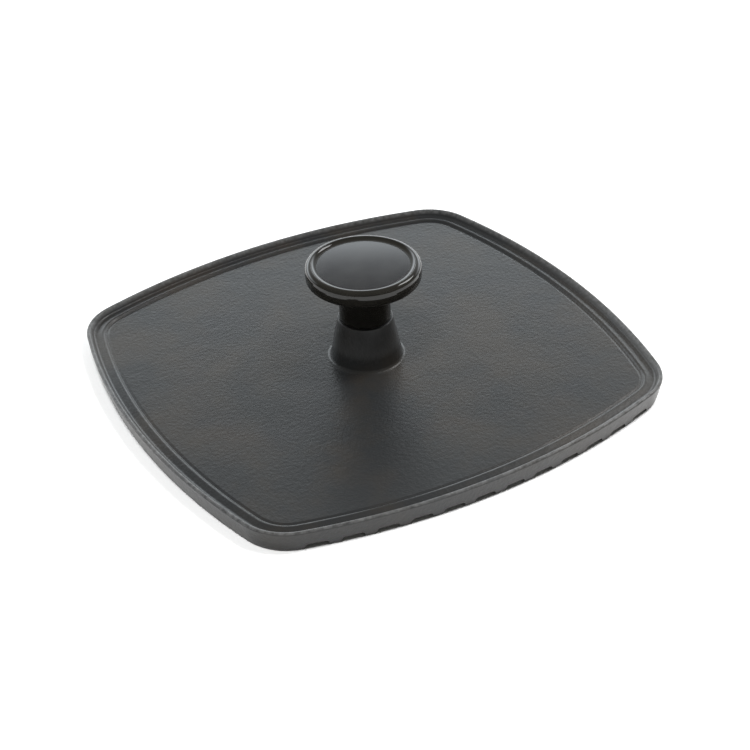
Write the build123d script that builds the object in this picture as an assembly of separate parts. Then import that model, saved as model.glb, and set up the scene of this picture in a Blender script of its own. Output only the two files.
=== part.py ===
from build123d import *
import os
from math import atan2, cos, degrees, hypot, radians, sin, tan

# Grill press: a ribbed cast-iron plate with a boss in its middle, and a
# mushroom knob that one screw holds down on the boss from underneath.
# Millimetres. The rib crests lie on z = 0, +Z is up and is the knob's axis, and
# the ribs run along Y, so that the grooves between them open in the two Y edges.

# ---- Plate outline: four bowed sides joined by round corners --------------
PLATE_LENGTH = 225.0          # X, at the widest
PLATE_WIDTH = 217.2           # Y, at the widest
SIDE_BOW_RADIUS = 298.0       # radius of each bowed side, seen from above
CORNER_RADIUS = 25.0

# ---- Plate section at the rim, from the outline inward --------------------
FLOOR_HEIGHT = 7.4            # flat top of the plate above the rib crests
RIM_RISE = 2.7                # rim above the floor
WALL_DRAFT = 12.0             # degrees, the wall leans in towards its foot
FOOT_RADIUS = 0.8             # rounding of the wall's foot
RIM_OUTER_RADIUS = 0.8
RIM_LAND = 0.2                # flat between the rim's two rounds
RIM_INNER_RADIUS = 1.0
RIM_SLOPE = 55.0              # degrees, the rim's fall towards the gutter
GUTTER_DEPTH = 0.1            # gutter below the floor
GUTTER_RADIUS = 1.5
BEAD_RISE = 0.7               # low bead above the floor
BEAD_OUTER_SLOPE = 13.0       # degrees
BEAD_TOP_WIDTH = 0.8
BEAD_INNER_SLOPE = 45.0       # degrees
BEAD_RADIUS = 1.4
QUIRK_DEPTH = 0.35            # fine groove between the bead and the floor
QUIRK_RADIUS = 0.5
QUIRK_SLOPE = 15.0            # degrees, its rise to the floor
FLOOR_EDGE_RADIUS = 1.0
FLOOR_MARGIN = 2.5            # floor that belongs to the rim's section

# ---- Ribs underneath -------------------------------------------------------
RIB_PITCH = 14.3              # a rib runs under the middle
RIB_MARGIN = 20.0             # least flat margin beside the last groove
GROOVE_MOUTH = 11.0           # width of a groove at the rib crests
GROOVE_DEPTH = 2.6
GROOVE_SLOPE = 30.0           # degrees that a groove's side leans from upright
GROOVE_ROOT_RADIUS = 0.9

# ---- Boss in the middle, and the screw's well under it ---------------------
BOSS_RISE = 20.2              # above the floor
BOSS_LEDGE = 0.8              # top of the boss past the neck, on the radius
BOSS_TAPER = 11.5             # degrees
BOSS_FOOT_FILLET = 1.8
BOSS_TOP_ROUND = 0.5
BOSS_WEB = 13.6               # iron between the well's roof and the boss's top
WELL_CLEARANCE = 2.1          # round the flat washer, on the radius
WELL_PAD_WIDTH = 5.0          # solid land left round the well's mouth

# ---- Screw, washers and moulded-in insert (M6) -----------------------------
SCREW_RADIUS = 2.95           # outside of the thread
SCREW_LENGTH = 30.0           # under the head
SCREW_TIP_CHAMFER = 0.7
SCREW_HOLE_CLEARANCE = 0.35   # hole through the boss, on the radius
HEAD_OVERHANG = 3.05          # pan head past the thread, on the radius
HEAD_HEIGHT = 3.6
HEAD_EDGE_RADIUS = 1.8
SLOT_WIDTH = 1.6
SLOT_DEPTH = 1.6
HEAD_SEAT_GAP = 0.05          # screw head under the spring washer
WASHER_BORE_CLEARANCE = 0.25  # both washers over the screw, on the radius
FLAT_WASHER_WIDTH = 3.2       # of the ring
FLAT_WASHER_THICKNESS = 1.2
LOCK_WASHER_WIDTH = 2.7
LOCK_WASHER_THICKNESS = 1.6
LOCK_WASHER_SPLIT = 1.0       # width of its split
LOCK_WASHER_SPLIT_TURN = 25.0   # degrees that the split leans
INSERT_WALL = 2.0
INSERT_LENGTH = 15.0
INSERT_WAIST_DEPTH = 0.8      # groove round the insert that the moulding fills
INSERT_WAIST_LENGTH = 3.0
INSERT_RECESS = 0.4           # insert above the neck's end face
THREAD_CLEARANCE = 0.05       # insert's bore round the screw, on the radius
TIP_POCKET_DEPTH = 2.0        # empty space above the insert

# ---- Knob ------------------------------------------------------------------
KNOB_SEAT_GAP = 0.03          # neck's end face over the boss
NECK_RADIUS = 11.4
NECK_END_ROUND = 0.4
KNOB_HEIGHT = 27.0            # neck's end face to the top of the head
KNOB_HEAD_RADIUS = 25.6       # head at its widest
KNOB_HEAD_DEPTH = 8.1         # underside of the head to its top
BAND_BULGE = 0.7              # swell of the band round the head
BAND_LOWER_ROUND = 2.4
BAND_UPPER_ROUND = 2.1
UNDERSIDE_RISE = 0.8          # underside is this much higher at the neck
NECK_COVE_RADIUS = 5.5        # sweep from the neck into the underside
DISC_INSET = 5.2              # disc's edge inside the head's widest place
DISC_THICKNESS = 1.6
DISC_EDGE_DEPTH = 1.0         # disc's edge below the top of the head
DISC_CROWN = 0.6              # swell of the disc in its middle
DISC_EDGE_ROUND = 0.2
DISC_CLEARANCE = 0.05         # glue gap round the disc
DISC_LEDGE = 0.4              # flat round the disc, before the cove
DISC_COVE_WIDTH = 1.95        # cove from the ledge up to the top of the head
DISC_COVE_SAG = 0.25

# ---- Radii and heights that follow from the sizes above --------------------
WASHER_BORE_RADIUS = SCREW_RADIUS + WASHER_BORE_CLEARANCE
FLAT_WASHER_RADIUS = WASHER_BORE_RADIUS + FLAT_WASHER_WIDTH
LOCK_WASHER_RADIUS = WASHER_BORE_RADIUS + LOCK_WASHER_WIDTH
WELL_RADIUS = FLAT_WASHER_RADIUS + WELL_CLEARANCE
HEAD_RADIUS = SCREW_RADIUS + HEAD_OVERHANG
INSERT_BORE_RADIUS = SCREW_RADIUS + THREAD_CLEARANCE
INSERT_RADIUS = INSERT_BORE_RADIUS + INSERT_WALL
DISC_RADIUS = KNOB_HEAD_RADIUS - DISC_INSET
BOSS_TOP_RADIUS = NECK_RADIUS + BOSS_LEDGE
RIM_TOP = FLOOR_HEIGHT + RIM_RISE
BOSS_TOP = FLOOR_HEIGHT + BOSS_RISE
WELL_DEPTH = BOSS_TOP - BOSS_WEB
KNOB_BASE = BOSS_TOP + KNOB_SEAT_GAP
KNOB_TOP = KNOB_BASE + KNOB_HEIGHT
FLAT_WASHER_BASE = WELL_DEPTH - FLAT_WASHER_THICKNESS
LOCK_WASHER_BASE = FLAT_WASHER_BASE - LOCK_WASHER_THICKNESS
HEAD_SEAT = LOCK_WASHER_BASE - HEAD_SEAT_GAP
SCREW_TIP = HEAD_SEAT + SCREW_LENGTH
INSERT_BASE = KNOB_BASE + INSERT_RECESS
INSERT_TOP = INSERT_BASE + INSERT_LENGTH
DISC_EDGE_TOP = KNOB_TOP - DISC_EDGE_DEPTH
DISC_BASE = DISC_EDGE_TOP - DISC_THICKNESS


def rise_over(height, slope):
    """Run of a slope, in degrees, that climbs a height."""
    return height / tan(radians(slope))


def section(edges, rounds=()):
    """A face of (radius, height) edges in the XZ plane, with some corners rounded.

    Each round is (radius, height, round radius), and names its corner.
    """
    face = make_face(edges)
    for x, y, size in rounds:
        corner = face.vertices().sort_by_distance((x, y, 0))[0]
        face = fillet(corner, size)
    return Plane.XZ * face


def polygon_section(corners):
    """A closed section from (radius, height, round radius) corners."""
    points = [(x, y) for x, y, _ in corners]
    rounds = [corner for corner in corners if corner[2] > 0]
    return section(Polyline(*points, close=True), rounds)


def tube(outer, inner, base, height):
    """An upright ring on the Z axis."""
    return Pos(0, 0, base) * extrude(Circle(outer) - Circle(inner), height)


def rod(radius, base, top):
    """An upright cylinder on the Z axis, between two heights."""
    return Pos(0, 0, base) * extrude(Circle(radius), top - base)


def outline_arcs():
    """The plate outline's arcs, anticlockwise from the +X side.

    Each is (centre x, centre y, radius, start angle, end angle), in degrees.
    """
    side_x = PLATE_LENGTH / 2 - SIDE_BOW_RADIUS
    side_y = PLATE_WIDTH / 2 - SIDE_BOW_RADIUS
    # A corner's centre is the same distance from the centres of both its sides.
    gap = hypot(side_x, side_y)
    across = ((SIDE_BOW_RADIUS - CORNER_RADIUS) ** 2 - (gap / 2) ** 2) ** 0.5
    corner_x = side_x / 2 - across * side_y / gap
    corner_y = side_y / 2 - across * side_x / gap
    turn_in = degrees(atan2(corner_y, corner_x - side_x))
    turn_out = degrees(atan2(corner_y - side_y, corner_x))
    half = [
        (side_x, 0, SIDE_BOW_RADIUS, -turn_in, turn_in),
        (corner_x, corner_y, CORNER_RADIUS, turn_in, turn_out),
        (0, side_y, SIDE_BOW_RADIUS, turn_out, 180 - turn_out),
        (-corner_x, corner_y, CORNER_RADIUS, 180 - turn_out, 180 - turn_in),
    ]
    return half + [(-x, -y, r, a + 180, b + 180) for x, y, r, a, b in half]


def rim_corners():
    """The rim's section as (inset from the outline, height, round radius)."""
    lean = radians(WALL_DRAFT)
    # The wall touches the rim's outer round just below the widest place.
    touch_inset = RIM_OUTER_RADIUS * (1 - cos(lean))
    touch_height = RIM_TOP - RIM_OUTER_RADIUS * (1 + sin(lean))
    wall_foot = touch_inset + touch_height * tan(lean)
    wall_head = touch_inset - (RIM_TOP - touch_height) * tan(lean)
    gutter = FLOOR_HEIGHT - GUTTER_DEPTH
    bead = FLOOR_HEIGHT + BEAD_RISE
    quirk = FLOOR_HEIGHT - QUIRK_DEPTH
    shoulder = RIM_OUTER_RADIUS + RIM_LAND + RIM_INNER_RADIUS * tan(radians(RIM_SLOPE / 2))
    gutter_inset = shoulder + rise_over(RIM_TOP - gutter, RIM_SLOPE)
    bead_start = gutter_inset + rise_over(bead - gutter, BEAD_OUTER_SLOPE)
    bead_end = bead_start + BEAD_TOP_WIDTH
    quirk_inset = bead_end + rise_over(bead - quirk, BEAD_INNER_SLOPE)
    floor_inset = quirk_inset + rise_over(QUIRK_DEPTH, QUIRK_SLOPE)
    band = floor_inset + FLOOR_MARGIN
    return [
        (band, 0, 0),
        (wall_foot, 0, FOOT_RADIUS),
        (wall_head, RIM_TOP, RIM_OUTER_RADIUS),
        (shoulder, RIM_TOP, RIM_INNER_RADIUS),
        (gutter_inset, gutter, GUTTER_RADIUS),
        (bead_start, bead, BEAD_RADIUS),
        (bead_end, bead, BEAD_RADIUS),
        (quirk_inset, quirk, QUIRK_RADIUS),
        (floor_inset, FLOOR_HEIGHT, FLOOR_EDGE_RADIUS),
        (band, FLOOR_HEIGHT, 0),
    ]


def plate_blank():
    """The plate with its rim: the rim's section turned along each arc, and the middle."""
    corners = rim_corners()
    band = corners[0][0]
    rim = polygon_section([(-inset, z, size) for inset, z, size in corners])
    pieces = []
    inner_arcs = []
    for x, y, radius, start, end in outline_arcs():
        placed = Pos(x, y, 0) * Rot(0, 0, start) * Pos(radius, 0, 0) * rim
        pieces.append(revolve(placed, Axis((x, y, 0), (0, 0, 1)), end - start))
        inner_arcs.append(CenterArc((x, y), radius - band, start, end - start))
    middle = extrude(make_face(inner_arcs), FLOOR_HEIGHT)
    return middle + pieces


def boss():
    """The boss, with a disc of the plate under it for the fillet to run into."""
    foot = BOSS_TOP_RADIUS + BOSS_RISE * tan(radians(BOSS_TAPER))
    skirt = foot + 2 * BOSS_FOOT_FILLET
    below = (GROOVE_DEPTH + FLOOR_HEIGHT) / 2
    return revolve(polygon_section([
        (0, below, 0),
        (skirt, below, 0),
        (skirt, FLOOR_HEIGHT, 0),
        (foot, FLOOR_HEIGHT, BOSS_FOOT_FILLET),
        (BOSS_TOP_RADIUS, BOSS_TOP, BOSS_TOP_ROUND),
        (0, BOSS_TOP, 0),
    ]), Axis.Z)


def groove():
    """One groove between two ribs, on the X axis, longer than the plate."""
    narrowing = 2 * GROOVE_DEPTH * tan(radians(GROOVE_SLOPE))
    mouth = GROOVE_MOUTH + narrowing
    root = GROOVE_MOUTH - narrowing
    return Pos(0, PLATE_WIDTH, 0) * extrude(polygon_section([
        (-mouth / 2, -GROOVE_DEPTH, 0),
        (mouth / 2, -GROOVE_DEPTH, 0),
        (root / 2, GROOVE_DEPTH, GROOVE_ROOT_RADIUS),
        (-root / 2, GROOVE_DEPTH, GROOVE_ROOT_RADIUS),
    ]), 2 * PLATE_WIDTH)


def press_plate():
    """The iron casting: rimmed plate, ribs, boss and the screw's well."""
    ribbed_half = PLATE_LENGTH / 2 - RIB_MARGIN
    groove_pairs = int((ribbed_half - GROOVE_MOUTH / 2) / RIB_PITCH + 0.5)
    places = [RIB_PITCH * (i + 0.5) for i in range(-groove_pairs, groove_pairs)]
    pad = rod(WELL_RADIUS + WELL_PAD_WIDTH, -FLOOR_HEIGHT, FLOOR_HEIGHT)
    casting = plate_blank() + boss()
    casting -= Compound([Pos(x, 0, 0) * groove() for x in places]) - pad
    casting -= rod(WELL_RADIUS, -FLOOR_HEIGHT, WELL_DEPTH)
    casting -= rod(SCREW_RADIUS + SCREW_HOLE_CLEARANCE, 0, BOSS_TOP + FLOOR_HEIGHT)
    return casting


def flat_washer():
    """The flat washer against the roof of the well."""
    return tube(FLAT_WASHER_RADIUS, WASHER_BORE_RADIUS, FLAT_WASHER_BASE, FLAT_WASHER_THICKNESS)


def lock_washer():
    """The split spring washer, pressed flat."""
    ring = tube(LOCK_WASHER_RADIUS, WASHER_BORE_RADIUS, LOCK_WASHER_BASE, LOCK_WASHER_THICKNESS)
    reach = 2 * LOCK_WASHER_RADIUS
    middle = LOCK_WASHER_BASE + LOCK_WASHER_THICKNESS / 2
    split = Rot(LOCK_WASHER_SPLIT_TURN, 0, 0) * Box(reach, LOCK_WASHER_SPLIT, reach)
    return ring - Pos(reach / 2, 0, middle) * split


def fixing_screw():
    """The slotted pan-head screw, its thread as a plain shank."""
    head_base = HEAD_SEAT - HEAD_HEIGHT
    body = revolve(polygon_section([
        (0, head_base, 0),
        (HEAD_RADIUS, head_base, HEAD_EDGE_RADIUS),
        (HEAD_RADIUS, HEAD_SEAT, 0),
        (SCREW_RADIUS, HEAD_SEAT, 0),
        (SCREW_RADIUS, SCREW_TIP - SCREW_TIP_CHAMFER, 0),
        (SCREW_RADIUS - SCREW_TIP_CHAMFER, SCREW_TIP, 0),
        (0, SCREW_TIP, 0),
    ]), Axis.Z)
    slot = Pos(0, 0, head_base) * Box(2 * HEAD_RADIUS + 1, SLOT_WIDTH, 2 * SLOT_DEPTH)
    return body - slot


def insert_blank():
    """The insert's outside, which is also the hole it fills in the knob."""
    waist = INSERT_RADIUS - INSERT_WAIST_DEPTH
    waist_base = INSERT_BASE + (INSERT_LENGTH - INSERT_WAIST_LENGTH) / 2
    groove_ring = tube(2 * INSERT_RADIUS, waist, waist_base, INSERT_WAIST_LENGTH)
    return rod(INSERT_RADIUS, INSERT_BASE, INSERT_TOP) - groove_ring


def knob_insert():
    """The threaded brass insert, its thread as a plain bore."""
    return insert_blank() - rod(INSERT_BORE_RADIUS, 0, KNOB_TOP)


def knob_disc():
    """The slightly crowned disc let into the top of the head."""
    edge = (DISC_RADIUS, DISC_EDGE_TOP)
    crown = Line((0, DISC_BASE), (DISC_RADIUS, DISC_BASE))
    crown += Line((DISC_RADIUS, DISC_BASE), edge)
    crown += RadiusArc(edge, (0, DISC_EDGE_TOP + DISC_CROWN),
                       -(DISC_RADIUS ** 2 + DISC_CROWN ** 2) / (2 * DISC_CROWN))
    crown += Line((0, DISC_EDGE_TOP + DISC_CROWN), (0, DISC_BASE))
    return revolve(section(crown, [(*edge, DISC_EDGE_ROUND)]), Axis.Z)


def knob_body():
    """The moulded knob: neck, head and the dish that holds the disc."""
    underside = KNOB_TOP - KNOB_HEAD_DEPTH
    band = KNOB_HEAD_RADIUS - BAND_BULGE
    neck_foot = (NECK_RADIUS, KNOB_BASE)
    neck_head = (NECK_RADIUS, underside + UNDERSIDE_RISE)
    band_foot = (band, underside)
    band_head = (band, KNOB_TOP)
    swell = (KNOB_HEAD_RADIUS, underside + KNOB_HEAD_DEPTH / 2)
    profile = Polyline((0, KNOB_TOP), (0, KNOB_BASE), neck_foot, neck_head, band_foot)
    profile += ThreePointArc(band_foot, swell, band_head)
    profile += Line(band_head, (0, KNOB_TOP))
    body = revolve(section(profile, [
        (*neck_foot, NECK_END_ROUND),
        (*neck_head, NECK_COVE_RADIUS),
        (*band_foot, BAND_LOWER_ROUND),
        (*band_head, BAND_UPPER_ROUND),
    ]), Axis.Z)
    pocket_radius = DISC_RADIUS + DISC_CLEARANCE
    ledge = pocket_radius + DISC_LEDGE
    lip = ledge + DISC_COVE_WIDTH
    dish = Polyline((ledge, DISC_EDGE_TOP), (0, DISC_EDGE_TOP), (0, KNOB_TOP + 1),
                    (lip, KNOB_TOP + 1), (lip, KNOB_TOP))
    dish += SagittaArc((lip, KNOB_TOP), (ledge, DISC_EDGE_TOP), DISC_COVE_SAG)
    body -= revolve(section(dish), Axis.Z)
    body -= rod(pocket_radius, DISC_BASE, KNOB_TOP)
    body -= insert_blank()
    body -= rod(INSERT_RADIUS + INSERT_RECESS, KNOB_BASE - 1, INSERT_BASE)
    body -= rod(INSERT_RADIUS - INSERT_WAIST_DEPTH, INSERT_TOP, INSERT_TOP + TIP_POCKET_DEPTH)
    return body


def write_parts():
    """Write one STEP file for each piece."""
    os.makedirs("parts", exist_ok=True)
    for make in (press_plate, flat_washer, lock_washer, fixing_screw,
                 knob_insert, knob_body, knob_disc):
        export_step(make(), f"parts/{make.__name__}.step")


if __name__ == "__main__":
    write_parts()
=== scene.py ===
import logging
import math
from dataclasses import dataclass
from enum import Enum
from typing import Any, Callable, Iterable, Sequence, Union

import bmesh
import bpy
from mathutils import Matrix, Vector


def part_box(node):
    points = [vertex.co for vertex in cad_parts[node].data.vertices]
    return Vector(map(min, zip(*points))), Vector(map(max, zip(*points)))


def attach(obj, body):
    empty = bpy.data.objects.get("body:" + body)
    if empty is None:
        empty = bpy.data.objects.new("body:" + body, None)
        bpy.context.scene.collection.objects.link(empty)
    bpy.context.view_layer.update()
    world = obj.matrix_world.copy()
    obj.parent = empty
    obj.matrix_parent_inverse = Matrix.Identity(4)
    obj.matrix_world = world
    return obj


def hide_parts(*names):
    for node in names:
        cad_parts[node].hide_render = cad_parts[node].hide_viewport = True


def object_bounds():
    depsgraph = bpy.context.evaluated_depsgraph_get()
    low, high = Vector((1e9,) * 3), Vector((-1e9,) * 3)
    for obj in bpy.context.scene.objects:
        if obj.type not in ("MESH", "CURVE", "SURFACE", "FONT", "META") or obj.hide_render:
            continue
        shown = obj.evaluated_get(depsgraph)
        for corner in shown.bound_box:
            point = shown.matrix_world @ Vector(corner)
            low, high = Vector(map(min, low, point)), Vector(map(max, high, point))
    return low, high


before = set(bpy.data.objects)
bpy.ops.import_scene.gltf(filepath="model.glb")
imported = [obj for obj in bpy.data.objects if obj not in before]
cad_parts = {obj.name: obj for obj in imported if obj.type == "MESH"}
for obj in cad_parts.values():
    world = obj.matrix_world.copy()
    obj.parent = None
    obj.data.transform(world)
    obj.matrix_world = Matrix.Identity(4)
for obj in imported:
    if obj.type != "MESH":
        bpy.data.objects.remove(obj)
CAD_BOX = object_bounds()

# Grill press: a ribbed cast-iron plate, a mushroom knob and the screw that joins them.
# Metres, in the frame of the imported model: +Z up, the rib crests on z = 0.

MM = 0.001
TINY = 1e-9

LOG = logging.getLogger("grill_press")

Point = tuple[float, float]
Place = tuple[float, float, float]
Colour = tuple[float, float, float]
Value = Union["Wire", bpy.types.NodeSocket, float, int, Sequence[float]]
Settings = dict[str, Any]
Inputs = dict[int | str, Value]


class Body(Enum):
    """The bodies that move apart."""

    PRESS = "press"
    SCREW = "screw"
    KNOB = "knob"


class Slot(Enum):
    """The material slots of the record."""

    IRON = "iron"
    PHENOLIC = "phenolic"
    DISC = "disc"
    SCREW_STEEL = "screw_steel"
    WASHER_STEEL = "washer_steel"
    BRASS = "insert_brass"


# ---- Node trees ---------------------------------------------------------------


def operator(operation: str, reflected: bool = False) -> Callable[["Wire", Value], "Wire"]:
    """An arithmetic operator of Wire, which adds one Math node.

    Args:
        operation: The node's operation.
        reflected: Take the two values the other way round, as in 1 - mask.

    Returns:
        The method.
    """

    def method(self: "Wire", other: Value) -> "Wire":
        """Add the node.

        Args:
            other: The other value.

        Returns:
            The result.
        """
        left, right = (other, self) if reflected else (self, other)
        return self._math(operation, left, right)

    return method


class Wire:
    """A value in a node tree. Arithmetic on it adds Math nodes."""

    def __init__(self, board: "Board", socket: bpy.types.NodeSocket) -> None:
        """Keep the tree and the socket that the value comes from."""
        self.board = board
        self.socket = socket

    def _math(self, operation: str, left: Value, right: Value = 0.0, clamp: bool = False) -> "Wire":
        """Add one Math node.

        Args:
            operation: The node's operation.
            left: First value.
            right: Second value, which some operations don't read.
            clamp: Hold the result between 0 and 1.

        Returns:
            The result.
        """
        settings = {"operation": operation, "use_clamp": clamp}
        return self.board.wire("ShaderNodeMath", settings, {0: left, 1: right})

    __add__ = operator("ADD")
    __radd__ = operator("ADD", reflected=True)
    __sub__ = operator("SUBTRACT")
    __rsub__ = operator("SUBTRACT", reflected=True)
    __mul__ = operator("MULTIPLY")
    __rmul__ = operator("MULTIPLY", reflected=True)
    __truediv__ = operator("DIVIDE")
    __rtruediv__ = operator("DIVIDE", reflected=True)
    __pow__ = operator("POWER")
    least = operator("MINIMUM")
    above = operator("GREATER_THAN")
    below = operator("LESS_THAN")

    def __neg__(self) -> "Wire":
        """Opposite."""
        return self._math("MULTIPLY", self, -1.0)

    def __abs__(self) -> "Wire":
        """Size without its sign."""
        return self._math("ABSOLUTE", self)

    def held(self) -> "Wire":
        """The value held between 0 and 1."""
        return self._math("ADD", self, clamp=True)

    def rise(self, start: Value, length: Value) -> "Wire":
        """A slope from 0 at one value to 1 a length past it. A negative length goes the other way."""
        return ((self - start) / length).held()

    def between(self, low: Value, high: Value, fade: "Wire") -> "Wire":
        """1 between two values, with a slope of a given length from 0 inside each."""
        return self.rise(low, fade) * self.rise(high, -fade)

    def fraction(self) -> "Wire":
        """What is left past the last whole number."""
        return self._math("FRACT", self)

    def zigzag(self) -> "Wire":
        """A wave of straight slopes: 0 at whole numbers and 1 halfway between them."""
        return 1.0 - abs(self.fraction() * 2.0 - 1.0)


class Board:
    """A node tree that nodes are added to."""

    def __init__(self, tree: bpy.types.NodeTree) -> None:
        """Keep the tree."""
        self.tree = tree

    def add(
        self, kind: str, settings: Settings | None = None, inputs: Inputs | None = None
    ) -> bpy.types.Node:
        """Add one node.

        Args:
            kind: The node's type.
            settings: Its properties, which are set first. "stops" are a ramp's (place, colour) pairs.
            inputs: A value or a link for each socket, by its number or name.

        Returns:
            The node.
        """
        node = self.tree.nodes.new(kind)
        for name, value in (settings or {}).items():
            if name == "stops":
                self._set_stops(node.color_ramp, value)
            else:
                setattr(node, name, value)
        for key, value in (inputs or {}).items():
            self._feed(node.inputs[key], value)
        return node

    def wire(
        self,
        kind: str,
        settings: Settings | None = None,
        inputs: Inputs | None = None,
        output: int | str = 0,
    ) -> Wire:
        """Add one node and return one of its outputs.

        Args:
            kind: The node's type.
            settings: Its properties.
            inputs: A value or a link for each socket.
            output: The output's number or name.

        Returns:
            The output as a value.
        """
        return Wire(self, self.add(kind, settings, inputs).outputs[output])

    def split(self, vector: Value) -> tuple[Wire, Wire, Wire]:
        """The three parts of a vector.

        Args:
            vector: The vector.

        Returns:
            Its x, y and z.
        """
        node = self.add("ShaderNodeSeparateXYZ", inputs={0: vector})
        return Wire(self, node.outputs[0]), Wire(self, node.outputs[1]), Wire(self, node.outputs[2])

    def turn(self, x: Wire, y: Wire) -> Wire:
        """The share of a full turn about Z at a place."""
        return self.wire("ShaderNodeMath", {"operation": "ARCTAN2"}, {0: y, 1: x}) / math.tau

    @staticmethod
    def reach(x: Wire, y: Wire) -> Wire:
        """The distance of a place from Z."""
        return (x * x + y * y) ** 0.5

    def _feed(self, socket: bpy.types.NodeSocket, value: Value) -> None:
        """Link a socket, or set its value.

        Args:
            socket: The socket.
            value: A value, or what it is linked to.
        """
        if isinstance(value, Wire):
            self.tree.links.new(value.socket, socket)
        elif isinstance(value, bpy.types.NodeSocket):
            self.tree.links.new(value, socket)
        else:
            socket.default_value = value

    @staticmethod
    def _set_stops(ramp: bpy.types.ColorRamp, stops: Sequence[tuple[float, Sequence[float]]]) -> None:
        """Give a ramp its stops, in order.

        Args:
            ramp: The ramp.
            stops: (place, colour) pairs.
        """
        while len(ramp.elements) < len(stops):
            ramp.elements.new(1.0)
        for element, (place, colour) in zip(ramp.elements, stops):
            element.position = place
            element.color = (*colour, 1.0)


class ShapeTree(Board):
    """A Geometry Nodes tree with named inputs, one geometry in and one out."""

    SOCKETS = {
        "length": "NodeSocketFloat",
        "count": "NodeSocketInt",
        "object": "NodeSocketObject",
        "material": "NodeSocketMaterial",
        "geometry": "NodeSocketGeometry",
    }

    def __init__(self, name: str) -> None:
        """Start an empty tree."""
        super().__init__(bpy.data.node_groups.new(name, "GeometryNodeTree"))
        self.keys: dict[str, str] = {}
        self.entry = self.tree.nodes.new("NodeGroupInput")
        self.shape = self.ask("Geometry", "geometry")
        self.tree.interface.new_socket("Geometry", in_out="OUTPUT", socket_type="NodeSocketGeometry")

    def ask(self, label: str, kind: str = "length") -> Wire:
        """Add a named input.

        Args:
            label: The input's name.
            kind: One of SOCKETS.

        Returns:
            The input as a value.
        """
        item = self.tree.interface.new_socket(label, in_out="INPUT", socket_type=self.SOCKETS[kind])
        self.keys[label] = item.identifier
        found = [s for s in self.entry.outputs if s.identifier == item.identifier]
        return Wire(self, found[0])

    def ask_sizes(self, *labels: str) -> list[Wire]:
        """Add a named number for each label, in order."""
        return [self.ask(label) for label in labels]

    def close(self, shape: Value) -> None:
        """End the tree: realise what is instanced, set the material, and pass it out.

        Args:
            shape: The finished geometry.
        """
        material = self.ask("Material", "material")
        solid = self.wire("GeometryNodeRealizeInstances", inputs={0: shape})
        dressed = self.add("GeometryNodeSetMaterial", inputs={"Geometry": solid, "Material": material})
        self.add("NodeGroupOutput", inputs={0: dressed.outputs[0]})

    def close_moved(self, offset: Wire) -> None:
        """End the tree with its points moved by an offset."""
        moved = {"Geometry": self.shape, "Offset": offset}
        self.close(self.wire("GeometryNodeSetPosition", inputs=moved))

    def close_pressed(self, x: Wire, y: Wire, depth: Wire) -> None:
        """End the tree with its points pressed towards Z.

        Args:
            x: The points' x.
            y: The points' y.
            depth: How far each is pressed.
        """
        share = depth / (self.reach(x, y) + TINY)
        self.close_moved(self.wire("ShaderNodeCombineXYZ", inputs={0: -(x * share), 1: -(y * share)}))

    def shape_piece(self, piece: bpy.types.Object, material: bpy.types.Material, **values: Any) -> None:
        """Run the tree on a piece and keep the result as its mesh.

        Args:
            piece: The piece to change.
            material: The finish it leaves with.
            **values: The inputs, with _ for a space in a name.
        """
        modifier = piece.modifiers.new(self.tree.name, "NODES")
        modifier.node_group = self.tree
        modifier[self.keys["Material"]] = material
        for label, value in values.items():
            modifier[self.keys[label.replace("_", " ")]] = value
        freeze(piece)


def freeze(piece: bpy.types.Object) -> None:
    """Replace a piece's mesh by what its modifiers make of it, and drop the modifiers.

    Args:
        piece: The piece.
    """
    bpy.context.view_layer.update()
    graph = bpy.context.evaluated_depsgraph_get()
    made = bpy.data.meshes.new_from_object(
        piece.evaluated_get(graph), preserve_all_data_layers=True, depsgraph=graph
    )
    piece.modifiers.clear()
    spare = piece.data
    piece.data = made
    bpy.data.meshes.remove(spare)


# ---- Sections, and the solids made from them -------------------------------------


@dataclass(frozen=True)
class Corner:
    """A corner of a section: distance out from the axis or in from the outline, height, and round."""

    reach: float
    height: float
    radius: float = 0.0


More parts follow.
